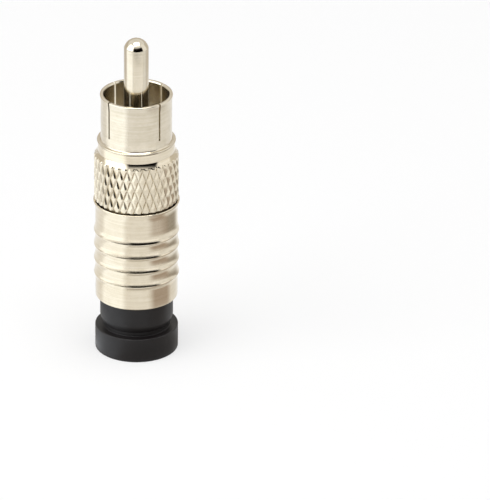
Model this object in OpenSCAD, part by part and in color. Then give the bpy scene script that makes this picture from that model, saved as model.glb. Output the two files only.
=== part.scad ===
// RCA plug, compression type, for coaxial cable.
// Millimetres. Z runs along the plug's axis, the pin points up.
// Z = 0 is the bottom face of the compression ring's flange.

/* [Pin and shell] */
// Diameter of the centre pin
pin_d = 3.2; // [3.1:0.05:3.3]
// How far the pin's nose stands past the shell's rim
pin_reach = 7.7; // [6.5:0.1:9]
// Height of the pin's rounded nose
pin_nose_h = 1.22; // [0.9:0.02:1.5]
// Inside diameter of the contact shell
shell_id = 8.4; // [8.2:0.05:8.6]
// Wall of the contact shell
shell_wall = 0.4; // [0.3:0.02:0.44]
// Shell from the top of its root flange to its rim
shell_len = 6.35; // [5.6:0.05:8]
// From the shell's rim down to the insulator's face
cup_depth = 6.7; // [6:0.1:7.5]
// How far the flared rim stands out of the shell
bead_out = 0.13; // [0.05:0.01:0.2]
// Height of the flared rim
bead_h = 0.9; // [0.4:0.05:1]
// Number of saw slits, an even number
slit_count = 4; // [2:2:6]
// Width of a saw slit
slit_w = 0.25; // [0.15:0.01:0.4]
// Length of a saw slit from the rim
slit_len = 5.15; // [4:0.05:5.4]
// Diameter of the shell's root flange
root_d = 10.2; // [10.1:0.02:10.4]
// Thickness of the shell's root flange
root_t = 0.25; // [0.15:0.01:0.4]
// Height of the taper where the shell meets its root flange
root_taper_h = 0.9; // [0.4:0.05:1.1]

/* [Knurled collar] */
// Diameter of the plain neck above the knurl
neck_d = 9.96; // [9.8:0.02:10.06]
// Length of the plain neck
neck_len = 1.23; // [1:0.01:2.5]
// Diameter over the points of the knurl
knurl_d = 10.94; // [10.7:0.02:11.1]
// Depth of the knurl
knurl_depth = 0.28; // [0.1:0.01:0.3]
// Diamonds in one turn of the knurl
knurl_count = 34; // [24:1:48]
// Length of the knurl
knurl_len = 6.82; // [5.5:0.02:9]
// Height of one row of points, half a diamond
knurl_pitch = 1.39; // [0.9:0.01:2]
// Lean of the points to one side, as a share of half a diamond's width
knurl_lean = 0.3; // [0:0.05:0.5]
// Height of the cone from the knurl up to the neck
knurl_chamfer = 0.75; // [0.4:0.05:1]
// Dark seam between the knurl and the body
seam = 0.25; // [0.1:0.05:0.8]

/* [Compression body] */
// Diameter of the body between its grip rings
body_d = 10.7; // [10.6:0.02:10.9]
// Length of the body
body_len = 13.7; // [13.4:0.05:18]
// Diameter of the rim at the body's upper end
rim_d = 11.2; // [11.1:0.02:11.6]
// Height of that rim with its taper
rim_h = 0.85; // [0.5:0.05:1.2]
// Number of grip rings
grip_count = 4; // [2:1:4]
// Spacing of the grip rings
grip_pitch = 2.03; // [1.7:0.01:2.2]
// From the body's rear end to the middle of its last grip ring
grip_from_end = 3.34; // [2.5:0.01:4.2]
// Diameter over a grip ring
grip_d = 11.06; // [10.95:0.01:11.3]
// Width of a grip ring's flat crest
grip_crest = 0.1; // [0.05:0.01:0.2]
// Length of the long flank over a grip ring
grip_flank = 1.18; // [0.9:0.02:1.3]

/* [Compression ring] */
// Diameter of the ring's flange
flange_d = 10.8; // [10.4:0.05:11.2]
// Height of the ring's flange
flange_h = 3.27; // [2:0.01:5]
// Diameter at the bottom of the undercut over the flange
undercut_d = 8.8; // [8.6:0.05:9.2]
// Height of the undercut
undercut_h = 0.55; // [0.3:0.05:1]
// Diameter of the ring's sleeve
sleeve_d = 9.5; // [9.4:0.02:9.6]
// Height of the taper at the sleeve's foot
foot_taper_h = 0.88; // [0.3:0.02:1.5]
// How far the sleeve sits in the body before the plug is crimped
sleeve_seat = 4.1; // [3:0.1:5]
// How far the ring slides in before its flange meets the body
slide_travel = 4.2; // [3.5:0.1:4.5]
// Bore for the cable's jacket
jacket_bore_d = 7.8; // [7.2:0.05:8]

/* [Cable side] */
// Bore of the ground post, for the cable's dielectric
post_bore_d = 4.84; // [4.6:0.02:5]
// Wall of the ground post
post_wall = 0.42; // [0.3:0.02:0.5]
// How far a barb stands out of the post
barb_out = 0.2; // [0.1:0.01:0.25]
// Number of barbs
barb_count = 2; // [1:1:3]
// Length of a barb's ramp
barb_ramp = 0.9; // [0.5:0.05:1.2]
// Bore in the pin's rear end, for the cable's centre wire
wire_bore_d = 1.12; // [0.9:0.02:1.2]
// Depth of that bore
wire_bore_len = 7; // [5:0.1:9]

/* [Fits] */
// Radial clearance of the sliding ring in the body
slide_gap = 0.04; // [0.02:0.01:0.08]
// Radial clearance of pieces that are pressed together
press_gap = 0.01; // [0.005:0.005:0.02]
// Gap left between the ring's flange and the body when crimped
stop_gap = 0.03; // [0.02:0.01:0.1]

/* [Hidden] */
$fn = 96;
// small rounds and bores need fewer steps
fine = 48;
// how far a cut runs past the surface it opens
past = 0.5;
// edges broken by the turning tool
edge = 0.1;
// edge of a moulded piece
moulded_round = 0.15;
// rounding of the shell's flared rim
bead_round = 0.16;
// taper of the shell at its root
root_taper = 0.1;
// lead-in at the mouth of a bore
lead_in = 0.3;

// radii
pin_r = pin_d / 2;
shell_ri = shell_id / 2;
shell_ro = shell_ri + shell_wall;
bead_r = shell_ro + bead_out;
root_r = root_d / 2;
neck_r = neck_d / 2;
knurl_r = knurl_d / 2;
rim_r = rim_d / 2;
body_r = body_d / 2;
grip_r = grip_d / 2;
flange_r = flange_d / 2;
undercut_r = undercut_d / 2;
sleeve_r = sleeve_d / 2;
jacket_r = jacket_bore_d / 2;
post_ri = post_bore_d / 2;
post_ro = post_ri + post_wall;
barb_r = post_ro + barb_out;

// heights, from the flange up to the pin's nose
body_z0 = flange_h + slide_travel + stop_gap;
body_z1 = body_z0 + body_len;
knurl_z0 = body_z1 + seam;
knurl_z1 = knurl_z0 + knurl_len;
neck_z1 = knurl_z1 + neck_len;
root_z1 = neck_z1 + root_t;
shell_z1 = root_z1 + shell_len;
pin_z1 = shell_z1 + pin_reach;
nose_z = pin_z1 - pin_nose_h;
ring_z1 = body_z0 + sleeve_seat;

// the collar's spigot, the post's flange under it and the lip that carries both
spigot_len = 1.2;
post_flange_t = 0.8;
lip_t = 0.6;
spigot_z = body_z1 - spigot_len;
lip_z1 = spigot_z - post_flange_t;
lip_z0 = lip_z1 - lip_t;
socket_wall = 0.4;
counter_r = body_r - socket_wall;
spigot_r = counter_r - press_gap;
post_flange_r = counter_r - edge;
shank_wall = 0.66;
lip_hole_r = post_ro + shank_wall;
shank_r = lip_hole_r - press_gap;
shank_foot = 0.3;

// the first row of points lies under the knurl's lower end and is cut away there
knurl_under = 1.09;
knurl_rows = ceil((knurl_len + knurl_under) / knurl_pitch);

// the shell's seat in the collar and the land that stops the insulator
shell_seat = 3;
land_t = 1;
shell_foot_z = neck_z1 - shell_seat;
land_z = shell_foot_z - land_t;
core_step = 0.2;
core_r = shell_ri + core_step;

// insulators and the rear end of the pin
cup_z = shell_z1 - cup_depth;
insulator_edge = 0.25;
guide_len = 3;
guide_z1 = spigot_z + guide_len;
shank_out = 0.3;
pin_shank_r = pin_r + shank_out;
pin_flange_out = 0.75;
pin_flange_t = 1.2;
pin_flange_r = pin_r + pin_flange_out;
pin_flange_z1 = guide_z1 + pin_flange_t;
socket_in = 0.3;
socket_r = pin_r - socket_in;
socket_room = 0.2;
funnel_h = 0.6;
funnel_floor = 0.7;
funnel_r = 1.4;
funnel_throat_r = wire_bore_d / 2 + edge;
socket_lift = 0.05;
socket_z = spigot_z + funnel_floor + socket_lift;
finger_slit = 0.2;
finger_root = 0.25;

// bore of the body and of the ring
slide_r = sleeve_r + slide_gap;
slide_spare = 0.4;
slide_z1 = ring_z1 + slide_travel + slide_spare;
throat_in = 0.39;
throat_r = slide_r - throat_in;
post_inset = 0.5;
post_z0 = body_z0 + post_inset;
jacket_short = 0.4;
jacket_z1 = post_z0 - jacket_short;
jacket_flare = 0.25;
mouth_flare = 0.45;
mouth_h = 0.5;
nose_taper = 0.25;
nose_taper_h = 0.6;
foot_taper = 0.28;

// barbs
barb_tip = 0.12;
barb_land = 0.15;
barb_gap = 0.7;
barb_pitch = barb_ramp + barb_gap;

nickel = [0.80, 0.76, 0.67];
pale_plastic = [0.86, 0.83, 0.72];
black_plastic = [0.07, 0.07, 0.075];

// a saw slot right across the axis, from z0 up to z1
module saw_slot(angle, wide, long, z0, z1) {
  rotate([0, 0, angle])
    translate([-long / 2, -wide / 2, z0])
      cube([long, wide, z1 - z0]);
}

// nickel plated pin, rounded nose, shoulder, bored and split at the rear
module centre_pin() {
  nose_sphere = (pin_r * pin_r + pin_nose_h * pin_nose_h) / (2 * pin_nose_h);
  color(nickel)
  difference() {
    union() {
      translate([0, 0, guide_z1])
        cylinder(r = pin_r, h = nose_z - guide_z1);
      translate([0, 0, guide_z1])
        cylinder(r = pin_shank_r, h = cup_z - guide_z1);
      intersection() {
        translate([0, 0, pin_z1 - nose_sphere])
          sphere(r = nose_sphere);
        translate([0, 0, nose_z - edge])
          cylinder(r = pin_r, h = pin_nose_h + 2 * edge);
      }
      translate([0, 0, guide_z1])
        cylinder(r = pin_flange_r, h = pin_flange_t);
      translate([0, 0, socket_z])
        cylinder(r = socket_r, h = guide_z1 - socket_z + edge);
    }
    translate([0, 0, socket_z - past])
      cylinder(d = wire_bore_d, h = wire_bore_len + past, $fn = fine);
    translate([0, 0, socket_z])
      cylinder(r1 = wire_bore_d / 2 + lead_in, r2 = wire_bore_d / 2, h = lead_in, $fn = fine);
    for (angle = [0, 90])
      saw_slot(angle, finger_slit, 4 * socket_r, socket_z - past, guide_z1 - finger_root);
  }
}

// pale plastic plug at the bottom of the cup, pocketed for the pin's shoulder
module pin_insulator() {
  front_r = shell_ri - press_gap;
  back_r = core_r - press_gap;
  color(pale_plastic)
  rotate_extrude()
    polygon([
      [pin_flange_r + press_gap, guide_z1],
      [back_r, guide_z1],
      [back_r, land_z],
      [front_r, land_z],
      [front_r, cup_z - insulator_edge],
      [front_r - insulator_edge, cup_z],
      [pin_shank_r + press_gap, cup_z],
      [pin_shank_r + press_gap, pin_flange_z1],
      [pin_flange_r + press_gap, pin_flange_z1]
    ]);
}

// rear insulator, funnels the cable's centre wire into the pin
module pin_guide() {
  color(pale_plastic)
  rotate_extrude()
    polygon([
      [funnel_r, spigot_z],
      [core_r - press_gap, spigot_z],
      [core_r - press_gap, guide_z1],
      [socket_r + socket_room, guide_z1],
      [socket_r + socket_room, spigot_z + funnel_floor],
      [funnel_throat_r, spigot_z + funnel_floor],
      [funnel_throat_r, spigot_z + funnel_h]
    ]);
}

// slotted sleeve with a flared rim, a tapered root and a thin root flange
module contact_shell() {
  bead_z = shell_z1 - bead_h;
  color(nickel)
  difference() {
    rotate_extrude() {
      translate([shell_ri, shell_foot_z])
        square([shell_wall, bead_z - shell_foot_z]);
      translate([shell_ri, neck_z1])
        square([root_r - root_t / 2 - shell_ri, root_t]);
      translate([root_r - root_t / 2, neck_z1 + root_t / 2])
        circle(d = root_t, $fn = fine);
      polygon([
        [shell_ri, root_z1 - edge],
        [shell_ro + 2 * root_taper, root_z1 - edge],
        [shell_ro + 2 * root_taper, root_z1],
        [shell_ro + root_taper, root_z1 + root_taper],
        [shell_ro, root_z1 + root_taper_h],
        [shell_ri, root_z1 + root_taper_h]
      ]);
      polygon([
        [shell_ri, bead_z],
        [shell_ro, bead_z],
        [bead_r, shell_z1 - bead_round],
        [bead_r - bead_round, shell_z1 - bead_round],
        [bead_r - bead_round, shell_z1],
        [shell_ri + edge, shell_z1],
        [shell_ri, shell_z1 - 2 * edge]
      ]);
      translate([bead_r - bead_round, shell_z1 - bead_round])
        circle(r = bead_round, $fn = fine);
    }
    for (i = [0 : slit_count / 2 - 1])
      saw_slot(i * 360 / slit_count, slit_w, 3 * shell_ro, shell_z1 - slit_len, shell_z1 + past);
  }
}

// one point of the knurl
function knurl_at(rad, turn, z) = [rad * cos(turn), rad * sin(turn), z];

// points and grooves take turns along a row, and swap places from row to row
function is_groove(col, row) = (col + row) % 2 == 1;

// drum with a raised diamond knurl, whose top row is cut at its middle
module knurl_drum(low, high, z0, step, count, rows, lean) {
  cols = 2 * count;
  z1 = z0 + (rows + 0.5) * step;
  turn = 360 / cols;
  grid = [for (k = [0 : rows]) for (c = [0 : cols - 1])
    is_groove(c, k)
      ? knurl_at(low, c * turn, z0 + k * step)
      : knurl_at(high, (c + lean) * turn, z0 + k * step)];
  crests = [for (c = [0 : cols - 1]) knurl_at((low + high) / 2, (c + lean / 2) * turn, z1)];
  notches = [for (c = [0 : cols - 1]) knurl_at(low, (c + 0.5) * turn, z1)];
  crest0 = cols * (rows + 1);
  notch0 = crest0 + cols;
  foot = notch0 + cols;
  head = foot + 1;
  walls = [for (k = [0 : rows - 1]) for (c = [0 : cols - 1])
    let (d = (c + 1) % cols)
    let (p = k * cols + c)
    let (q = k * cols + d)
    let (s = p + cols)
    let (t = q + cols)
    each (is_groove(c, k) ? [[p, t, q], [p, s, t]] : [[p, s, q], [q, s, t]])];
  crown = [for (c = [0 : cols - 1])
    let (d = (c + 1) % cols)
    let (p = rows * cols + c)
    let (q = rows * cols + d)
    let (u = crest0 + c)
    let (v = crest0 + d)
    let (m = notch0 + c)
    each (is_groove(c, rows)
      ? [[p, v, q], [p, m, v], [p, u, m]]
      : [[p, m, q], [p, u, m], [q, m, v]])];
  floor_fan = [for (c = [0 : cols - 1]) [foot, c, (c + 1) % cols]];
  roof_fan = [for (c = [0 : cols - 1])
    each [
      [head, notch0 + c, crest0 + c],
      [head, crest0 + (c + 1) % cols, notch0 + c]
    ]];
  polyhedron(points = concat(grid, crests, notches, [[0, 0, z0], [0, 0, z1]]),
             faces = concat(walls, crown, floor_fan, roof_fan));
}

// turned collar, plain neck, diamond knurl and a spigot into the body
module knurled_collar() {
  color(nickel)
  difference() {
    union() {
      intersection() {
        knurl_drum(knurl_r - knurl_depth, knurl_r, knurl_z0 - knurl_under, knurl_pitch,
                   knurl_count, knurl_rows, knurl_lean);
        rotate_extrude()
          polygon([
            [0, knurl_z0],
            [knurl_r + edge, knurl_z0],
            [knurl_r + edge, knurl_z1 - knurl_chamfer],
            [knurl_r, knurl_z1 - knurl_chamfer],
            [neck_r, knurl_z1],
            [0, knurl_z1]
          ]);
      }
      rotate_extrude()
        polygon([
          [0, spigot_z],
          [spigot_r - edge, spigot_z],
          [spigot_r, spigot_z + edge],
          [spigot_r, knurl_z0],
          [neck_r, knurl_z0],
          [neck_r, neck_z1 - edge],
          [neck_r - edge, neck_z1],
          [0, neck_z1]
        ]);
    }
    rotate_extrude()
      polygon([
        [0, spigot_z - past],
        [core_r, spigot_z - past],
        [core_r, land_z],
        [shell_ri, land_z],
        [shell_ri, shell_foot_z],
        [shell_ro + press_gap, shell_foot_z],
        [shell_ro + press_gap, neck_z1 + past],
        [0, neck_z1 + past]
      ]);
  }
}

// flanged tube with barbs, goes under the cable's braid
module ground_post() {
  barbs = [for (i = [0 : barb_count - 1])
    let (z = post_z0 + i * barb_pitch)
    each [
      [i == 0 ? post_ri + barb_tip : post_ro, z],
      [barb_r, z + barb_ramp],
      [barb_r, z + barb_ramp + barb_land],
      [post_ro, z + barb_ramp + barb_land + edge]
    ]];
  color(nickel)
  rotate_extrude()
    polygon(concat(
      [[post_ri, post_z0]],
      barbs,
      [
        [post_ro, lip_z0 - shank_foot],
        [shank_r - 2 * edge, lip_z0 - shank_foot],
        [shank_r, lip_z0 - edge],
        [shank_r, lip_z1],
        [post_flange_r, lip_z1],
        [post_flange_r, spigot_z],
        [post_ri, spigot_z]
      ]
    ));
}

// a round cut that leaves a flank, from the barrel's surface at z up or down to a crest
module flank_cut(z, long, deep, down) {
  rad = (long * long + deep * deep) / (2 * deep);
  intersection() {
    translate([body_r + rad, z])
      circle(r = rad, $fn = 4 * $fn);
    translate([body_r, down ? z - long : z])
      square([deep, long]);
  }
}

// barrel with a rim at its upper end and four grip rings, bored for the sliding ring
module compression_body() {
  grip_rise = grip_r - body_r;
  grip_under = grip_pitch - grip_crest - grip_flank;
  grip_foot = body_z0 + grip_from_end - grip_crest / 2 - grip_under;
  color(nickel)
  rotate_extrude() {
    difference() {
      translate([slide_r, grip_foot])
        square([grip_r - slide_r, grip_count * grip_pitch]);
      for (i = [0 : grip_count - 1]) {
        flank_cut(grip_foot + i * grip_pitch, grip_under, grip_rise, false);
        flank_cut(grip_foot + (i + 1) * grip_pitch, grip_flank, grip_rise, true);
      }
    }
    polygon([
      [slide_r + lead_in / 2, body_z0],
      [body_r - 2 * edge, body_z0],
      [body_r, body_z0 + 2 * edge],
      [body_r, body_z1 - rim_h],
      [rim_r, body_z1 - 2 * edge],
      [rim_r, body_z1 - edge],
      [rim_r - edge, body_z1],
      [counter_r, body_z1],
      [counter_r, lip_z1],
      [lip_hole_r, lip_z1],
      [lip_hole_r, lip_z0],
      [throat_r, lip_z0],
      [slide_r, slide_z1],
      [slide_r, body_z0 + lead_in]
    ]);
  }
}

// black plastic ring, flange, undercut and sleeve
module compression_ring() {
  foot_z = flange_h + undercut_h;
  color(black_plastic)
  difference() {
    rotate_extrude() {
      translate([0, moulded_round])
        square([flange_r, flange_h - 2 * moulded_round]);
      square([flange_r - moulded_round, flange_h]);
      for (z = [moulded_round, flange_h - moulded_round])
        translate([flange_r - moulded_round, z])
          circle(r = moulded_round, $fn = fine);
      polygon([
        [0, flange_h - edge],
        [undercut_r, flange_h - edge],
        [undercut_r, foot_z],
        [max(undercut_r, sleeve_r - foot_taper), foot_z],
        [sleeve_r, foot_z + foot_taper_h],
        [sleeve_r, ring_z1 - nose_taper_h],
        [sleeve_r - nose_taper, ring_z1],
        [0, ring_z1]
      ]);
    }
    rotate_extrude()
      polygon([
        [0, -past],
        [jacket_r + mouth_flare, -past],
        [jacket_r + mouth_flare, 0],
        [jacket_r, mouth_h],
        [jacket_r, jacket_z1],
        [jacket_r + jacket_flare, ring_z1],
        [jacket_r + jacket_flare, ring_z1 + past],
        [0, ring_z1 + past]
      ]);
  }
}

centre_pin();
pin_insulator();
pin_guide();
contact_shell();
knurled_collar();
ground_post();
compression_body();
compression_ring();
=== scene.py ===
import math

import bmesh
import bpy
from mathutils import Euler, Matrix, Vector


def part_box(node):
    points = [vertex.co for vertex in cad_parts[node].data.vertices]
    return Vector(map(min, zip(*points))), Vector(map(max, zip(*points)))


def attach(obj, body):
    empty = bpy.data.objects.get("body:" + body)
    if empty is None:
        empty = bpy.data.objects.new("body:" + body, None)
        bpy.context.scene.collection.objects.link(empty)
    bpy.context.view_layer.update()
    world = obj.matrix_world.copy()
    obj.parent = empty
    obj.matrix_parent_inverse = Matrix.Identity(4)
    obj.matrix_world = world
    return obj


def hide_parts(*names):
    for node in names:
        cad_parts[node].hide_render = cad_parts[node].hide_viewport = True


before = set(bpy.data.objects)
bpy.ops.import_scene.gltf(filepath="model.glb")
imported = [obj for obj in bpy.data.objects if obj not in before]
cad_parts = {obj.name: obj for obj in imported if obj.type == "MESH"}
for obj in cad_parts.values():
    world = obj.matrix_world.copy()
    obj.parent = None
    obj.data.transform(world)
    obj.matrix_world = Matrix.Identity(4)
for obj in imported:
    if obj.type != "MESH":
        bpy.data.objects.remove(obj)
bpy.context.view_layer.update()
print("frame loaded, nodes:", len(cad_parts))

mm = 0.001
weld = 1e-7  # metres within which two points are one
cutReach = 1e-8  # metres within which a cut takes a point as its own
turnSides = 192  # faces round a turned piece
roundSteps = 6  # faces across a rounded corner
hardEdge = 30  # degrees past which an edge stays sharp
fit = 0.01  # mm of room in a pressed seat
scene = bpy.context.scene


# outer radius, foot and top of a CAD node, in mm
def nodeSize(node):
    low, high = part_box(node)
    return high.x / mm, low.z / mm, high.z / mm


# sRGB hex to the linear colour that a socket takes
def hexColour(code):
    parts = [int(code[i:i + 2], 16) / 255 for i in (1, 3, 5)]
    return [c / 12.92 if c <= 0.04045 else ((c + 0.055) / 1.055) ** 2.4 for c in parts] + [1.0]


# one node with its settings, the values of its sockets and its links
def addNode(tree, kind, settings={}, links={}):
    node = tree.nodes.new(kind)
    for key, value in settings.items():
        if isinstance(key, int) or key in node.inputs:
            node.inputs[key].default_value = value
        else:
            setattr(node, key, value)
    for key, socket in links.items():
        tree.links.new(socket, node.inputs[key])
    return node


def newMaterial(name):
    material = bpy.data.materials.new(name)
    material.use_nodes = True
    material.node_tree.nodes.clear()
    return material, material.node_tree


# nickel plate on turned brass: warm bright metal, fine rings from the lathe that draw reflections out
# along the axis, faint streaks and handling marks, and painted brown shade in corners and seams that are
# shut in
nickel = {
    "paintedShade": "#2a2114",
    "shadeReach": 0.35,  # how near a wall the painted shade reaches
    "shut": 0.12,  # openness of a corner that is all painted shade
    "smudge": 2.4,
    "smudgeFrom": 0.42,
    "smudgeTo": 0.72,
    "wearFrom": 0.75,
    "wearTo": 1.25,
    "ringPitch": 0.16,  # finer on the real one, drawn as coarse as it needs to show
    "ringStretch": (0.02, 0.02, 1),  # rings hardly change on the way round
    "quarterTurn": 0.25,  # reflections are drawn out across the rings
    "buffing": 0.5,  # part of the roughness left where a piece is buffed
}


def makeNickel(name, finish):
    material, tree = newMaterial(name)
    place = addNode(tree, "ShaderNodeTexCoord")
    along = addNode(tree, "ShaderNodeMapping", {"Scale": nickel["ringStretch"]},
                    {"Vector": place.outputs["Object"]})
    rings = addNode(tree, "ShaderNodeTexNoise",
                    {"Scale": 1 / (nickel["ringPitch"] * mm), "Detail": 2.0, "Roughness": 0.6},
                    {"Vector": along.outputs["Vector"]})
    smudge = addNode(tree, "ShaderNodeTexNoise",
                     {"Scale": 1 / (nickel["smudge"] * mm), "Detail": 4.0, "Roughness": 0.65},
                     {"Vector": place.outputs["Object"]})
    haze = addNode(tree, "ShaderNodeMapRange",
                   {"From Min": nickel["smudgeFrom"], "From Max": nickel["smudgeTo"],
                    "To Min": finish["clean"], "To Max": finish["handled"]},
                   {"Value": smudge.outputs["Fac"]})
    rough = haze.outputs["Result"]
    if "buffedFrom" in finish:
        axes = addNode(tree, "ShaderNodeSeparateXYZ", {}, {0: place.outputs["Object"]})
        polish = addNode(tree, "ShaderNodeMapRange",
                         {"From Min": finish["buffedFrom"] * mm, "From Max": finish["buffedTo"] * mm,
                          "To Min": 1.0, "To Max": nickel["buffing"]},
                         {"Value": axes.outputs["Z"]})
        buffed = addNode(tree, "ShaderNodeMath", {"operation": "MULTIPLY"},
                         {0: rough, 1: polish.outputs["Result"]})
        rough = buffed.outputs[0]
    wear = addNode(tree, "ShaderNodeMath", {"operation": "ADD"},
                   {0: rings.outputs["Fac"], 1: smudge.outputs["Fac"]})
    share = addNode(tree, "ShaderNodeMapRange",
                    {"From Min": nickel["wearFrom"], "From Max": nickel["wearTo"]},
                    {"Value": wear.outputs[0]})
    tone = addNode(tree, "ShaderNodeMix",
                   {"data_type": "RGBA", 6: hexColour(finish["plate"]), 7: hexColour(finish["worn"])},
                   {0: share.outputs["Result"]})
    # painted shade: ambient occlusion turns the plate brown in corners, seams and valleys
    aoShade = addNode(tree, "ShaderNodeAmbientOcclusion",
                     {"samples": 8, "Distance": nickel["shadeReach"] * mm})
    unshadedShare = addNode(tree, "ShaderNodeMapRange",
                   {"From Min": nickel["shut"], "From Max": finish["open"]},
                   {"Value": aoShade.outputs["AO"]})
    shadedTone = addNode(tree, "ShaderNodeMix", {"data_type": "RGBA", 6: hexColour(nickel["paintedShade"])},
                     {0: unshadedShare.outputs["Result"], 7: tone.outputs[2]})
    bump = addNode(tree, "ShaderNodeBump", {"Strength": 1.0, "Distance": finish["ringDepth"] * mm},
                   {"Height": rings.outputs["Fac"]})
    lathe = addNode(tree, "ShaderNodeTangent", {"direction_type": "RADIAL", "axis": "Z"})
    metal = addNode(tree, "ShaderNodeBsdfPrincipled",
                    {"Metallic": 1.0, "Anisotropic": finish["drawn"],
                     "Anisotropic Rotation": nickel["quarterTurn"]},
                    {"Base Color": shadedTone.outputs[2], "Roughness": rough,
                     "Normal": bump.outputs["Normal"], "Tangent": lathe.outputs["Tangent"]})
    addNode(tree, "ShaderNodeOutputMaterial", {}, {"Surface": metal.outputs["BSDF"]})
    return material


# open is the openness past which there is no painted shade, drawn how far the rings draw reflections out
turnedFinish = {
    "plate": "#e2d8c4",
    "worn": "#d6cab2",
    "ringDepth": 0.0022,
    "drawn": 0.5,
    "clean": 0.08,
    "handled": 0.18,
    "open": 0.45,
}
turnedNickel = makeNickel("nickel_plate_on_turned_brass", turnedFinish)

# duller where a jack slides on and off
shellFinish = {
    "plate": "#dad1bf",
    "worn": "#cfc5b0",
    "ringDepth": 0.001,
    "drawn": 0.6,
    "clean": 0.16,
    "handled": 0.26,
    "open": 0.45,
}
shellNickel = makeNickel("nickel_plate_rubbed_on_shell", shellFinish)

pinFinish = {
    "plate": "#dad1bf",
    "worn": "#cfc5b0",
    "ringDepth": 0.003,
    "drawn": 0.4,
    "clean": 0.11,
    "handled": 0.17,
    "open": 0.45,
    "buffedFrom": 42.2,  # the nose
    "buffedTo": 42.7,
}
pinNickel = makeNickel("nickel_plate_rubbed_on_pin", pinFinish)

# a knurling wheel presses its points smooth, painted shade darkens the valleys
rolledFinish = {
    "plate": "#e2d8c4",
    "worn": "#d6cab2",
    "ringDepth": 0.0,
    "drawn": 0.0,
    "clean": 0.07,
    "handled": 0.15,
    "open": 0.97,
}
rolledNickel = makeNickel("nickel_plate_on_rolled_knurl", rolledFinish)

# acetal, satin: a fine grain and a slight unevenness in the sheen
acetal = {
    "ior": 1.48,
    "patchFrom": 0.35,
    "patchTo": 0.65,
    "scatterDepth": 0.4,
    "scatterTint": (1.0, 0.8, 0.5),
}


def makeAcetal(name, finish):
    material, tree = newMaterial(name)
    place = addNode(tree, "ShaderNodeTexCoord")
    patch = addNode(tree, "ShaderNodeTexNoise", {"Scale": 1 / (finish["patch"] * mm), "Detail": 3.0},
                    {"Vector": place.outputs["Object"]})
    grain = addNode(tree, "ShaderNodeTexNoise", {"Scale": 1 / (finish["grain"] * mm), "Detail": 2.0},
                    {"Vector": place.outputs["Object"]})
    tone = addNode(tree, "ShaderNodeMix",
                   {"data_type": "RGBA", 6: hexColour(finish["colour"]), 7: hexColour(finish["shade"])},
                   {0: patch.outputs["Fac"]})
    gloss = addNode(tree, "ShaderNodeMapRange",
                    {"From Min": acetal["patchFrom"], "From Max": acetal["patchTo"],
                     "To Min": finish["sheen"], "To Max": finish["dull"]},
                    {"Value": patch.outputs["Fac"]})
    bump = addNode(tree, "ShaderNodeBump", {"Strength": 1.0, "Distance": finish["grainDepth"] * mm},
                   {"Height": grain.outputs["Fac"]})
    plastic = addNode(tree, "ShaderNodeBsdfPrincipled",
                      {"IOR": acetal["ior"], "Specular IOR Level": finish["shine"],
                       "Subsurface Weight": finish["scatter"],
                       "Subsurface Scale": acetal["scatterDepth"] * mm,
                       "Subsurface Radius": acetal["scatterTint"]},
                      {"Base Color": tone.outputs[2], "Roughness": gloss.outputs["Result"],
                       "Normal": bump.outputs["Normal"]})
    addNode(tree, "ShaderNodeOutputMaterial", {}, {"Surface": plastic.outputs["BSDF"]})
    return material


# black from the mould, no light gets in
blackFinish = {
    "colour": "#090404",
    "shade": "#110b0b",
    "shine": 0.45,
    "sheen": 0.4,
    "dull": 0.55,
    "grain": 0.13,
    "grainDepth": 0.004,
    "patch": 3.5,
    "scatter": 0.0,
}
mouldedBlack = makeAcetal("black_acetal_moulded", blackFinish)

# natural, turned: waxy cream that lets a little light in
paleFinish = {
    "colour": "#dcd8cc",
    "shade": "#d2ccbc",
    "shine": 0.5,
    "sheen": 0.38,
    "dull": 0.55,
    "grain": 0.2,
    "grainDepth": 0.003,
    "patch": 2.0,
    "scatter": 0.25,
}
turnedAcetal = makeAcetal("natural_acetal_turned", paleFinish)
print("materials made")


# full turn of a mesh's points and edges round the plug's axis
def spinRound(bm, sides):
    bmesh.ops.spin(bm, geom=bm.verts[:] + bm.edges[:], cent=(0, 0, 0), axis=(0, 0, 1), angle=math.tau,
                   steps=sides, use_merge=True)
    bmesh.ops.remove_doubles(bm, verts=bm.verts[:], dist=weld)


# closed outline of (radius, height, rounding) corners in mm, spun once round the axis
def turnOutline(outline, sides=turnSides, openEnds=False):
    bm = bmesh.new()
    corners = [bm.verts.new((p[0] * mm, 0, p[1] * mm)) for p in outline]
    bm.faces.new(corners)
    if openEnds:
        gap = bm.edges.get((corners[-1], corners[0]))
    for size in sorted({p[2] for p in outline if len(p) > 2}):
        picked = [v for v, p in zip(corners, outline) if len(p) > 2 and p[2] == size]
        bmesh.ops.bevel(bm, geom=picked, offset=size * mm, offset_type="OFFSET", affect="VERTICES",
                        segments=roundSteps, profile=0.5, material=-1)
    bmesh.ops.delete(bm, geom=bm.faces[:], context="FACES_ONLY")
    drop = [e for e in bm.edges if all(v.co.x < weld for v in e.verts)]
    if openEnds:
        drop.append(gap)
    bmesh.ops.delete(bm, geom=drop, context="EDGES")
    spinRound(bm, sides)
    return bm


# mesh to a piece that rides on its body and stands for its CAD node
# edges stay hard past these angles, outward ones past sharp and inward ones past crease
def makePiece(name, bm, material, body, sharp=hardEdge, crease=hardEdge):
    bmesh.ops.recalc_face_normals(bm, faces=bm.faces[:])
    for e in bm.edges:
        e.smooth = -math.radians(crease) < e.calc_face_angle_signed(0) < math.radians(sharp)
    mesh = bpy.data.meshes.new(name)
    bm.to_mesh(mesh)
    bm.free()
    for face in mesh.polygons:
        face.use_smooth = True
    mesh.materials.append(material)
    piece = bpy.data.objects.new(name, mesh)
    scene.collection.objects.link(piece)
    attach(piece, body)
    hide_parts(name.replace("_look", ""))
    print(name, "faces:", len(mesh.polygons))
    return piece


insulatorR, insulatorFoot, cupZ = nodeSize("pin_insulator")
guideR, guideFoot, guideTop = nodeSize("pin_guide")

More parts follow.
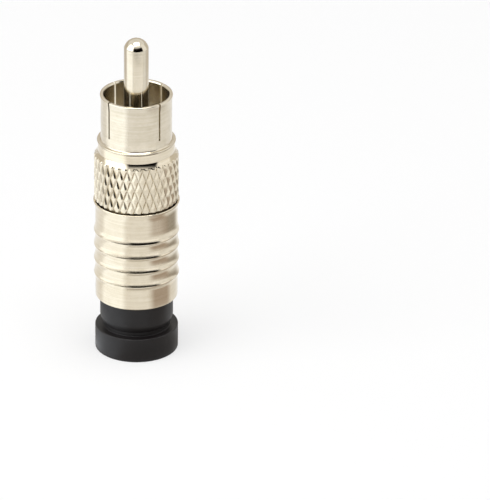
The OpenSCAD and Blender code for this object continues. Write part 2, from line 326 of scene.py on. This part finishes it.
# centre pin, dome nose, thicker where it sits in the insulator
pin = {
    "shaft": 1.6,
    "nose": 1.22,
    "shank": 1.9,
    "shoulder": 1.2,
    "socket": 1.3,
    "wireBore": 0.56,
    "boreDepth": 7.0,
    "leadIn": 0.3,
    "noseSteps": 20,
}
shoulderR, pinFoot, pinTop = nodeSize("centre_pin")
boreEnd = pinFoot + pin["boreDepth"]
shoulderTop = guideTop + pin["shoulder"]
domeR = (pin["shaft"] ** 2 + pin["nose"] ** 2) / (2 * pin["nose"])
domeSweep = math.asin(pin["shaft"] / domeR)
pinOutline = [
    (0, boreEnd),
    (pin["wireBore"], boreEnd),
    (pin["wireBore"], pinFoot + pin["leadIn"]),
    (pin["wireBore"] + pin["leadIn"], pinFoot),
    (pin["socket"], pinFoot),
    (pin["socket"], guideTop),
    (shoulderR, guideTop),
    (shoulderR, shoulderTop),
    (pin["shank"], shoulderTop),
    (pin["shank"], cupZ),
    (pin["shaft"], cupZ),
    (pin["shaft"], pinTop - pin["nose"]),
]
for i in range(pin["noseSteps"] - 1, -1, -1):
    sweep = domeSweep * i / pin["noseSteps"]
    pinOutline.append((domeR * math.sin(sweep), pinTop - domeR * (1 - math.cos(sweep))))
makePiece("centre_pin_look", turnOutline(pinOutline), pinNickel, "plug")

# insulator at the bottom of the cup, pocketed for the pin's shoulder
insulator = {
    "front": 4.19,
    "landZ": 25.5,
    "edge": 0.25,
    "holeEdge": 0.03,
}
pocketR = shoulderR + fit
holeR = pin["shank"] + fit
insulatorOutline = [
    (pocketR, insulatorFoot),
    (insulatorR, insulatorFoot),
    (insulatorR, insulator["landZ"]),
    (insulator["front"], insulator["landZ"]),
    (insulator["front"], cupZ, insulator["edge"]),
    (holeR, cupZ, insulator["holeEdge"]),
    (holeR, shoulderTop),
    (pocketR, shoulderTop),
]
makePiece("pin_insulator_look", turnOutline(insulatorOutline), turnedAcetal, "plug")

# rear insulator with the funnel for the centre wire
guide = {
    "funnel": 1.4,
    "funnelDepth": 0.6,
    "funnelEdge": 0.05,
    "edge": 0.08,
    "floor": 0.7,
    "throat": 0.66,
    "room": 1.5,
}
guideOutline = [
    (guide["funnel"], guideFoot, guide["funnelEdge"]),
    (guideR, guideFoot, guide["edge"]),
    (guideR, guideTop),
    (guide["room"], guideTop),
    (guide["room"], guideFoot + guide["floor"]),
    (guide["throat"], guideFoot + guide["floor"]),
    (guide["throat"], guideFoot + guide["funnelDepth"]),
]
makePiece("pin_guide_look", turnOutline(guideOutline), turnedAcetal, "plug")

# contact shell: thin sleeve, thick rim, thin root flange, four saw slits
shell = {
    "bore": 4.2,
    "wall": 0.4,
    "flare": 0.13,
    "flareHeight": 0.9,
    "rimEdge": 0.15,
    "mouth": 0.1,
    "mouthDepth": 0.2,
    "mouthEdge": 0.05,
    "taper": 0.1,
    "taperHeight": 0.9,
    "taperFoot": 0.05,
    "taperBend": 0.07,
    "blend": 0.5,  # rounding where the plain sleeve begins and ends
    "rootHeight": 0.25,
    "rootEdge": 0.12,
    "rootZ": 29.5,
    "slitWidth": 0.25,
    "slitLength": 5.15,
    "slits": 4,
}
rootR, shellFoot, shellTop = nodeSize("contact_shell")
shellR = shell["bore"] + shell["wall"]
rootTop = shell["rootZ"] + shell["rootHeight"]
shellOutline = [
    (shell["bore"], shellFoot),
    (shellR, shellFoot),
    (shellR, shell["rootZ"]),
    (rootR, shell["rootZ"], shell["rootEdge"]),
    (rootR, rootTop, shell["rootEdge"]),
    (shellR + 2 * shell["taper"], rootTop, shell["taperFoot"]),
    (shellR + shell["taper"], rootTop + shell["taper"], shell["taperBend"]),
    (shellR, rootTop + shell["taperHeight"], shell["blend"]),
    (shellR, shellTop - shell["flareHeight"], shell["blend"]),
    (shellR + shell["flare"], shellTop, shell["rimEdge"]),
    (shell["bore"] + shell["mouth"], shellTop, shell["mouthEdge"]),
    (shell["bore"], shellTop - shell["mouthDepth"], shell["mouthEdge"]),
]
shellPiece = makePiece("contact_shell_look", turnOutline(shellOutline), shellNickel, "plug")

# the saw: one thin box right across the axis for each pair of slits
sawSize = (4 * shellR * mm, shell["slitWidth"] * mm, 2 * shell["slitLength"] * mm)
for i in range(shell["slits"] // 2):
    turned = Euler((0, 0, i * math.tau / shell["slits"])).to_matrix()
    cutter = bmesh.new()
    bmesh.ops.create_cube(cutter, size=1.0)
    bmesh.ops.scale(cutter, vec=sawSize, verts=cutter.verts[:])
    bmesh.ops.rotate(cutter, cent=(0, 0, 0), matrix=turned, verts=cutter.verts[:])
    bmesh.ops.translate(cutter, vec=(0, 0, shellTop * mm), verts=cutter.verts[:])
    sawMesh = bpy.data.meshes.new("saw")
    cutter.to_mesh(sawMesh)
    cutter.free()
    saw = bpy.data.objects.new("saw", sawMesh)
    scene.collection.objects.link(saw)
    cut = shellPiece.modifiers.new("slit", "BOOLEAN")
    cut.operation = "DIFFERENCE"
    cut.solver = "EXACT"
    cut.object = saw
    bpy.context.view_layer.update()
    sawn = bpy.data.meshes.new_from_object(shellPiece.evaluated_get(bpy.context.evaluated_depsgraph_get()))
    shellPiece.modifiers.clear()
    shellPiece.data = sawn
    bpy.data.objects.remove(saw)
for face in shellPiece.data.polygons:
    face.use_smooth = True
shellPiece.data.set_sharp_from_angle(angle=math.radians(hardEdge))
print("slits cut, faces:", len(shellPiece.data.polygons))

# knurled collar: neck, diamond knurl and the spigot in the body
collar = {
    "neck": 4.98,
    "knurlTop": 28.27,
    "knurlFoot": 21.45,
    "depth": 0.155,  # of the valleys, whose sharp bottoms in the solid are rolled full here
    "count": 34,
    "rowHeight": 1.39,
    "rows": 7,
    "under": 1.09,
    "lean": 0.3,
    "cone": 0.75,
    "coneSteps": 10,
    "hollow": 1.25,
    "facetCuts": 2,
    "flat": 0.46,  # part of each diamond that the roll leaves as a blunt top
    "seam": 0.02,  # bridged between the neck and the knurl
    "seamReach": 0.03,
    "spigot": 4.94,
    "core": 4.4,
    "edge": 0.1,
    "sharp": 35,
    "crease": 14,
}
peak, spigotFoot, neckTop = nodeSize("knurled_collar")
valley = peak - collar["depth"]
apex = valley + collar["depth"] / (1 - collar["flat"])
columns = 2 * collar["count"]
collarOutline = [
    (collar["neck"], collar["knurlTop"] + collar["seam"]),
    (collar["neck"], neckTop, collar["edge"]),
    (shellR + fit, neckTop),
    (shellR + fit, shellFoot),
    (shell["bore"], shellFoot),
    (shell["bore"], insulator["landZ"]),
    (collar["core"], insulator["landZ"]),
    (collar["core"], spigotFoot),
    (collar["spigot"], spigotFoot, collar["edge"]),
    (collar["spigot"], collar["knurlFoot"]),
]
bm = turnOutline(collarOutline, 2 * columns, openEnds=True)

# a drum of square cells, every other corner pushed in, each cell creased from valley to valley
drumFoot = collar["knurlFoot"] - collar["under"]
drum = bmesh.new()
rowHeights = [drumFoot + k * collar["rowHeight"] for k in range(collar["rows"] + 1)]
upright = [drum.verts.new((apex * mm, 0, height * mm)) for height in rowHeights]
for a, b in zip(upright, upright[1:]):
    drum.edges.new((a, b))
spinRound(drum, columns)
valleys = set()
for v in drum.verts:
    column = round(math.atan2(v.co.y, v.co.x) / math.tau * columns)
    row = round((v.co.z / mm - drumFoot) / collar["rowHeight"])
    if (column + row) % 2 == 1:
        v.co.xy *= valley / apex
        valleys.add(v)
    else:
        v.co.rotate(Euler((0, 0, collar["lean"] * math.tau / columns)))
for face in drum.faces[:]:
    low = [v for v in face.verts if v in valleys]
    bmesh.utils.face_split(face, low[0], low[1])
points = [v for v in drum.verts if v not in valleys]
bmesh.ops.bevel(drum, geom=points, offset=100 * collar["flat"], offset_type="PERCENT", affect="VERTICES",
                segments=1, profile=0.5, material=-1)
bmesh.ops.triangulate(drum, faces=drum.faces[:])
bmesh.ops.subdivide_edges(drum, edges=drum.edges[:], cuts=collar["facetCuts"], use_grid_fill=True)

# lower end cut square, upper end turned down to a cone that runs out at the neck
coneFoot = collar["knurlTop"] - collar["cone"]
cuts = [(collar["knurlFoot"], True, False), (collar["knurlTop"], False, True)]
for i in range(collar["coneSteps"]):
    cuts.append((coneFoot + collar["cone"] * i / collar["coneSteps"], False, False))
for height, clearLow, clearHigh in cuts:
    bmesh.ops.bisect_plane(drum, geom=drum.verts[:] + drum.edges[:] + drum.faces[:], dist=cutReach,
                           plane_co=(0, 0, height * mm), plane_no=(0, 0, 1),
                           clear_inner=clearLow, clear_outer=clearHigh)
for v in drum.verts:
    down = min(max((collar["knurlTop"] - v.co.z / mm) / collar["cone"], 0), 1)
    limit = (collar["neck"] + (peak - collar["neck"]) * down ** collar["hollow"]) * mm
    if v.co.xy.length > limit:
        v.co.xy *= limit / v.co.xy.length
drumMesh = bpy.data.meshes.new("knurl")
drum.to_mesh(drumMesh)
drum.free()
bm.from_mesh(drumMesh)
bpy.data.meshes.remove(drumMesh)
for height in (collar["knurlFoot"], collar["knurlTop"]):
    near = {v for v in bm.verts if abs(v.co.z - height * mm) < collar["seamReach"] * mm}
    rims = [e for e in bm.edges if e.is_boundary and near.issuperset(e.verts)]
    bmesh.ops.bridge_loops(bm, edges=rims)
print("knurl open edges:", sum(e.is_boundary for e in bm.edges))
makePiece("knurled_collar_look", bm, rolledNickel, "plug",
          collar["sharp"], collar["crease"])

# ground post with its barbs, under the cable's braid
post = {
    "bore": 2.42,
    "wall": 0.42,
    "barbOut": 0.2,
    "barbs": 2,
    "barbRamp": 0.9,
    "barbLand": 0.15,
    "barbBack": 0.1,
    "barbEdge": 0.05,
    "barbPitch": 1.6,
    "barbTip": 0.12,
    "shank": 3.49,
    "shankZ": 18.3,
    "shankEdge": 0.15,
    "flangeZ": 19.2,
}
postR, postFoot, postTop = nodeSize("ground_post")
tubeR = post["bore"] + post["wall"]
barbR = tubeR + post["barbOut"]
postOutline = [(post["bore"], postFoot)]
for i in range(post["barbs"]):
    foot = postFoot + i * post["barbPitch"]
    crest = foot + post["barbRamp"]
    postOutline += [
        (post["bore"] + post["barbTip"] if i == 0 else tubeR, foot),
        (barbR, crest, post["barbEdge"]),
        (barbR, crest + post["barbLand"], post["barbEdge"]),
        (tubeR, crest + post["barbLand"] + post["barbBack"]),
    ]
postOutline += [
    (tubeR, post["shankZ"]),
    (post["shank"], post["shankZ"], post["shankEdge"]),
    (post["shank"], post["flangeZ"]),
    (postR, post["flangeZ"]),
    (postR, postTop),
    (post["bore"], postTop),
]
makePiece("ground_post_look", turnOutline(postOutline), turnedNickel, "plug")

# compression body: barrel with four grip rings, bored for the black ring
barrel = {
    "radius": 5.35,
    "footEdge": 0.2,
    "mouth": 0.15,
    "mouthHeight": 0.3,
    "mouthEdge": 0.05,
    "grips": 4,
    "gripPitch": 2.03,
    "gripFirst": 3.34,
    "gripRise": 0.18,
    "crest": 0.1,
    "flank": 1.18,
    "flankSteps": 16,
    "rimHeight": 0.85,
    "rimLand": 0.2,
    "rimBlend": 0.3,
    "rimEdge": 0.08,
    "seamEdge": 0.1,
    "bore": 4.79,
    "boreTop": 16.2,
    "throat": 4.4,
    "lipZ": 18.6,
    "lipTop": 19.2,
    "lipHole": 3.5,
    "socket": 4.95,
    "socketEdge": 0.03,
    "sharp": 16,
}
rimR, bodyFoot, bodyTop = nodeSize("compression_body")
bodyOutline = [
    (barrel["bore"] + barrel["mouth"], bodyFoot, barrel["mouthEdge"]),
    (barrel["radius"], bodyFoot, barrel["footEdge"]),
]
underFlank = barrel["gripPitch"] - barrel["crest"] - barrel["flank"]
gripFoot = bodyFoot + barrel["gripFirst"] - barrel["crest"] / 2 - underFlank
for i in range(barrel["grips"]):
    # a short hollow flank up to each crest and a long one over it
    for foot, turn, span in ((gripFoot + i * barrel["gripPitch"], 1, underFlank),
                             (gripFoot + (i + 1) * barrel["gripPitch"], -1, barrel["flank"])):
        flankR = (span ** 2 + barrel["gripRise"] ** 2) / (2 * barrel["gripRise"])
        flank = []
        for j in range(barrel["flankSteps"] + 1):
            lift = span * j / barrel["flankSteps"]
            flankOut = barrel["radius"] + flankR - math.sqrt(flankR ** 2 - lift ** 2)
            flank.append((flankOut, foot + turn * lift))
        bodyOutline += flank if turn > 0 else flank[:0:-1]
bodyOutline += [
    (barrel["radius"], gripFoot + barrel["grips"] * barrel["gripPitch"]),
    (barrel["radius"], bodyTop - barrel["rimHeight"], barrel["rimBlend"]),
    (rimR, bodyTop - barrel["rimLand"], barrel["rimEdge"]),
    (rimR, bodyTop, barrel["seamEdge"]),
    (barrel["socket"], bodyTop, barrel["socketEdge"]),
    (barrel["socket"], barrel["lipTop"]),
    (barrel["lipHole"], barrel["lipTop"]),
    (barrel["lipHole"], barrel["lipZ"]),
    (barrel["throat"], barrel["lipZ"]),
    (barrel["bore"], barrel["boreTop"]),
    (barrel["bore"], bodyFoot + barrel["mouthHeight"]),
]
makePiece("compression_body_look", turnOutline(bodyOutline), turnedNickel, "plug",
          barrel["sharp"], barrel["sharp"])

# compression ring: flange, undercut and the sleeve that slides in the body
ring = {
    "flangeHeight": 3.27,
    "flangeEdge": 0.15,
    "undercut": 4.4,
    "undercutHeight": 0.55,
    "undercutFoot": 0.08,
    "undercutTop": 0.05,
    "sleeve": 4.75,
    "foot": 0.28,
    "footHeight": 0.88,
    "footEdge": 0.03,
    "footBlend": 0.15,
    "jacket": 3.9,
    "jacketTop": 7.6,
    "mouth": 0.45,
    "mouthHeight": 0.5,
    "mouthEdge": 0.08,
    "flare": 0.25,
    "taper": 0.25,
    "taperHeight": 0.6,
    "noseEdge": 0.06,
}
flangeR, ringFoot, ringTop = nodeSize("compression_ring")
flangeTop = ringFoot + ring["flangeHeight"]
sleeveFoot = flangeTop + ring["undercutHeight"]
ringOutline = [
    (ring["jacket"] + ring["mouth"], ringFoot, ring["mouthEdge"]),
    (flangeR, ringFoot, ring["flangeEdge"]),
    (flangeR, flangeTop, ring["flangeEdge"]),
    (ring["undercut"], flangeTop, ring["undercutFoot"]),
    (ring["undercut"], sleeveFoot, ring["undercutTop"]),
    (ring["sleeve"] - ring["foot"], sleeveFoot, ring["footEdge"]),
    (ring["sleeve"], sleeveFoot + ring["footHeight"], ring["footBlend"]),
    (ring["sleeve"], ringTop - ring["taperHeight"]),
    (ring["sleeve"] - ring["taper"], ringTop, ring["noseEdge"]),
    (ring["jacket"] + ring["flare"], ringTop, ring["noseEdge"]),
    (ring["jacket"], ring["jacketTop"]),
    (ring["jacket"], ringFoot + ring["mouthHeight"]),
]
makePiece("compression_ring_look", turnOutline(ringOutline), mouldedBlack, "ring")

# camera at the photograph's angle, the plug left of the middle
shot = {
    "azimuth": 49.7,
    "elevation": 25.8,
    "distance": 1.0,
    "aim": 17.0,
    "lens": 555.2,
    "sensor": 36,
    "clipNear": 0.01,
    "clipFar": 20,
    "right": 0.806,
    "down": 0.1718,
    "roll": -0.06,
}


# unit vector at an azimuth measured from the camera and an elevation, both in degrees
def fromPlug(turn, rise):
    a = math.radians(shot["azimuth"] + turn)
    e = math.radians(rise)
    return Vector((math.sin(a) * math.cos(e), -math.cos(a) * math.cos(e), math.sin(e)))


toCamera = fromPlug(0, shot["elevation"])
cameraData = bpy.data.cameras.new("camera")
cameraData.lens = shot["lens"]
cameraData.sensor_width = shot["sensor"]
cameraData.clip_start = shot["clipNear"]
cameraData.clip_end = shot["clipFar"]
camera = bpy.data.objects.new("camera", cameraData)
camera.location = Vector((0, 0, shot["aim"] * mm)) + toCamera * shot["distance"]
aimed = (-toCamera).to_track_quat("-Z", "Y")
nudge = Euler([math.radians(angle) for angle in (-shot["down"], -shot["right"], shot["roll"])])
camera.rotation_mode = "QUATERNION"
camera.rotation_quaternion = aimed @ nudge.to_quaternion()
scene.collection.objects.link(camera)
scene.camera = camera
scene.view_settings.view_transform = "Standard"
print("camera set")


# the given share where the eye or a reflection looks, nothing for the light that falls on the pieces
def seenShare(tree, share):
    path = addNode(tree, "ShaderNodeLightPath")
    shiny = addNode(tree, "ShaderNodeMath", {"operation": "MAXIMUM"},
                    {0: path.outputs["Is Camera Ray"], 1: path.outputs["Is Glossy Ray"]})
    seen = addNode(tree, "ShaderNodeMath", {"operation": "MAXIMUM"},
                   {0: shiny.outputs[0], 1: path.outputs["Is Transmission Ray"]})
    part = addNode(tree, "ShaderNodeMath", {"operation": "MULTIPLY", 1: share}, {0: seen.outputs[0]})
    return part.outputs[0]


# room light: white where the eye or a reflection looks, dimmer as a fill for the floor and the plastic
room = {"colour": "#ffffff", "seen": 1.0, "fill": 0.45}
world = bpy.data.worlds.new("room")
world.use_nodes = True
tree = world.node_tree
tree.nodes.clear()
white = addNode(tree, "ShaderNodeBackground",
                {"Color": hexColour(room["colour"]), "Strength": room["seen"]})
fill = addNode(tree, "ShaderNodeBackground",
               {"Color": hexColour(room["colour"]), "Strength": room["fill"]})
mixed = addNode(tree, "ShaderNodeMixShader", {},
                {0: seenShare(tree, 1.0), 1: fill.outputs[0], 2: white.outputs[0]})
addNode(tree, "ShaderNodeOutputWorld", {}, {"Surface": mixed.outputs[0]})
scene.world = world

# floor: white paper that keeps a soft shadow
floor = {"radius": 0.9, "sides": 96, "paper": "#f4f4f4", "glow": 0.57}
bm = bmesh.new()
bmesh.ops.create_circle(bm, cap_ends=True, radius=floor["radius"], segments=floor["sides"])
floorMesh = bpy.data.meshes.new("floor")
bm.to_mesh(floorMesh)
bm.free()
material, tree = newMaterial("white_paper")
paper = addNode(tree, "ShaderNodeBsdfDiffuse", {"Color": hexColour(floor["paper"])})
glow = addNode(tree, "ShaderNodeEmission", {"Strength": 1.0})
mixed = addNode(tree, "ShaderNodeMixShader", {},
                {0: seenShare(tree, floor["glow"]), 1: paper.outputs[0], 2: glow.outputs[0]})
addNode(tree, "ShaderNodeOutputMaterial", {}, {"Surface": mixed.outputs[0]})
floorMesh.materials.append(material)
floorPiece = bpy.data.objects.new("floor", floorMesh)
scene.collection.objects.link(floorPiece)

# soft boxes aimed at the plug, in degrees from the camera and metres
boxes = (
    {"name": "left_box", "turn": -62, "rise": 38, "away": 0.7, "width": 0.5, "height": 0.5, "power": 1.5},
    {"name": "top_box", "turn": 10, "rise": 82, "away": 0.8, "width": 0.6, "height": 0.5, "power": 3.7},
)
for box in boxes:
    lampData = bpy.data.lights.new(box["name"], "AREA")
    lampData.shape = "RECTANGLE"
    lampData.size = box["width"]
    lampData.size_y = box["height"]
    lampData.energy = box["power"]
    lamp = bpy.data.objects.new(box["name"], lampData)
    toLamp = fromPlug(box["turn"], box["rise"])
    lamp.location = toLamp * box["away"]
    lamp.rotation_mode = "QUATERNION"
    lamp.rotation_quaternion = toLamp.to_track_quat("Z", "Y")
    scene.collection.objects.link(lamp)

# cards round the plug that only reflections see: turn, half width and grade at the sides in degrees,
# the rest in mm, from the near low edge to the far high one, each graded off over its rise or fall
cardSteps = 32
cardTrim = 0.1
plainCard = {"rise": 0.1, "fall": 0.1, "level": 1.0}
cards = (
    {"name": "left_sail", "turn": -66, "half": 40, "grade": 18, "near": 300, "far": 300,
     "foot": 26, "head": 420, "colour": "#f7fbff", "level": 2.8},
    {"name": "right_sail", "turn": 86, "half": 28, "grade": 10, "near": 300, "far": 300,
     "foot": 0, "head": 420, "colour": "#ffffff", "level": 1.15},
    # painted shade: the next two dark sheets stand where the room round the camera is dark, seen only in
    # reflections
    {"name": "low_flag", "turn": 20, "half": 53, "grade": 22, "near": 290, "far": 290,
     "foot": 9, "head": 62, "colour": "#15110e"},
    {"name": "high_flag", "turn": 18, "half": 50, "grade": 10, "near": 285, "far": 285,
     "foot": 60, "head": 352, "fall": 100, "colour": "#0c0a0a"},
    {"name": "left_edge", "turn": -58, "half": 44, "grade": 12, "near": 299, "far": 299,
     "foot": 28, "head": 62, "colour": "#4a443a"},
    {"name": "back_wall", "turn": 180, "half": 94, "grade": 26, "near": 305, "far": 305,
     "foot": 0, "head": 220, "fall": 40, "colour": "#dcd6cc"},
    {"name": "back_left", "turn": -126, "half": 40, "grade": 20, "near": 100, "far": 290,
     "foot": 0.05, "head": 0.05, "rise": 20, "colour": "#e2deda"},
    {"name": "back_right", "turn": 126, "half": 40, "grade": 20, "near": 100, "far": 290,
     "foot": 0.05, "head": 0.05, "rise": 20, "colour": "#e2deda"},
    # painted light: the next two sheets glow on the floor where the left box lights it, seen only in
    # reflections
    {"name": "left_lit_floor_near", "turn": -66, "half": 44, "grade": 20, "near": 5.7, "far": 70,
     "foot": 0.03, "head": 0.03, "fall": 20, "colour": "#f7fbff", "level": 1.46},
    {"name": "left_lit_floor_far", "turn": -70, "half": 48, "grade": 20, "near": 52, "far": 290,
     "foot": 0.02, "head": 0.02, "rise": 12, "colour": "#f7fbff", "level": 1.66},
    # painted shadow: a grey sheet on the floor where the plug's contact shadow falls, seen only in
    # reflections
    {"name": "front_contact_shadow", "turn": 40, "half": 80, "grade": 24, "near": 5.7, "far": 15,
     "foot": 0.06, "head": 0.06, "fall": 6, "colour": "#c8c4c0"},
    {"name": "front_far", "turn": 18, "half": 50, "grade": 12, "near": 85, "far": 284,
     "foot": 0.02, "head": 0.02, "rise": 5, "colour": "#ffffff", "level": 1.17},
    # painted reflection: the next two sheets stand for a second plug lying to the right, with its shadow,
    # seen only in reflections
    {"name": "right_near", "turn": 66, "half": 40, "grade": 24, "near": 11, "far": 68,
     "foot": 0.04, "head": 0.04, "rise": 8, "fall": 42, "colour": "#baada2"},
    {"name": "right_far", "turn": 106, "half": 48, "grade": 36, "near": 18, "far": 58,
     "foot": 0.03, "head": 0.03, "rise": 22, "fall": 14, "colour": "#aaa49c"},
)
for changes in cards:
    spec = {**plainCard, **changes}
    footUp = Vector((0, 0, spec["foot"] * mm))
    headUp = Vector((0, 0, spec["head"] * mm))
    bm = bmesh.new()
    arc = [fromPlug(spec["turn"] + spec["half"] * (2 * i / cardSteps - 1), 0) for i in range(cardSteps + 1)]
    low = [bm.verts.new(d * spec["near"] * mm + footUp) for d in arc]
    high = [bm.verts.new(d * spec["far"] * mm + headUp) for d in arc]
    for i in range(cardSteps):
        bm.faces.new((low[i], low[i + 1], high[i + 1], high[i]))
    cardMesh = bpy.data.meshes.new(spec["name"])
    bm.to_mesh(cardMesh)
    bm.free()
    material, tree = newMaterial(spec["name"])
    place = addNode(tree, "ShaderNodeTexCoord")
    middle = fromPlug(spec["turn"], 0)
    turned = addNode(tree, "ShaderNodeVectorRotate",
                     {"rotation_type": "Z_AXIS", "Angle": -math.atan2(middle.y, middle.x)},
                     {"Vector": place.outputs["Object"]})
    axes = addNode(tree, "ShaderNodeSeparateXYZ", {}, {0: turned.outputs[0]})
    angle = addNode(tree, "ShaderNodeMath", {"operation": "ARCTAN2"},
                    {0: axes.outputs["Y"], 1: axes.outputs["X"]})
    away = addNode(tree, "ShaderNodeMath", {"operation": "ABSOLUTE"}, {0: angle.outputs[0]})
    ramp = addNode(tree, "ShaderNodeMapRange",
                   {"interpolation_type": "SMOOTHSTEP", "From Min": math.radians(spec["half"]),
                    "From Max": math.radians(spec["half"] - spec["grade"])},
                   {"Value": away.outputs[0]})
    distance = addNode(tree, "ShaderNodeVectorMath", {"operation": "LENGTH"}, {0: place.outputs["Object"]})
    for edge, fade in ((math.hypot(spec["near"], spec["foot"]) - cardTrim, spec["rise"]),
                       (math.hypot(spec["far"], spec["head"]) + cardTrim, -spec["fall"])):
        side = addNode(tree, "ShaderNodeMapRange",
                       {"interpolation_type": "SMOOTHSTEP", "From Min": edge * mm,
                        "From Max": (edge + fade) * mm},
                       {"Value": distance.outputs["Value"]})
        ramp = addNode(tree, "ShaderNodeMath", {"operation": "MULTIPLY"},
                       {0: ramp.outputs[0], 1: side.outputs["Result"]})
    clear = addNode(tree, "ShaderNodeBsdfTransparent")
    shine = addNode(tree, "ShaderNodeEmission",
                    {"Color": hexColour(spec["colour"]), "Strength": spec["level"]})
    mixed = addNode(tree, "ShaderNodeMixShader", {},
                    {0: ramp.outputs[0], 1: clear.outputs[0], 2: shine.outputs[0]})
    addNode(tree, "ShaderNodeOutputMaterial", {}, {"Surface": mixed.outputs[0]})
    cardMesh.materials.append(material)
    card = bpy.data.objects.new(spec["name"], cardMesh)
    scene.collection.objects.link(card)
    card.visible_camera = False
    card.visible_diffuse = False
    card.visible_shadow = False
    card.visible_transmission = False
print("stage set")
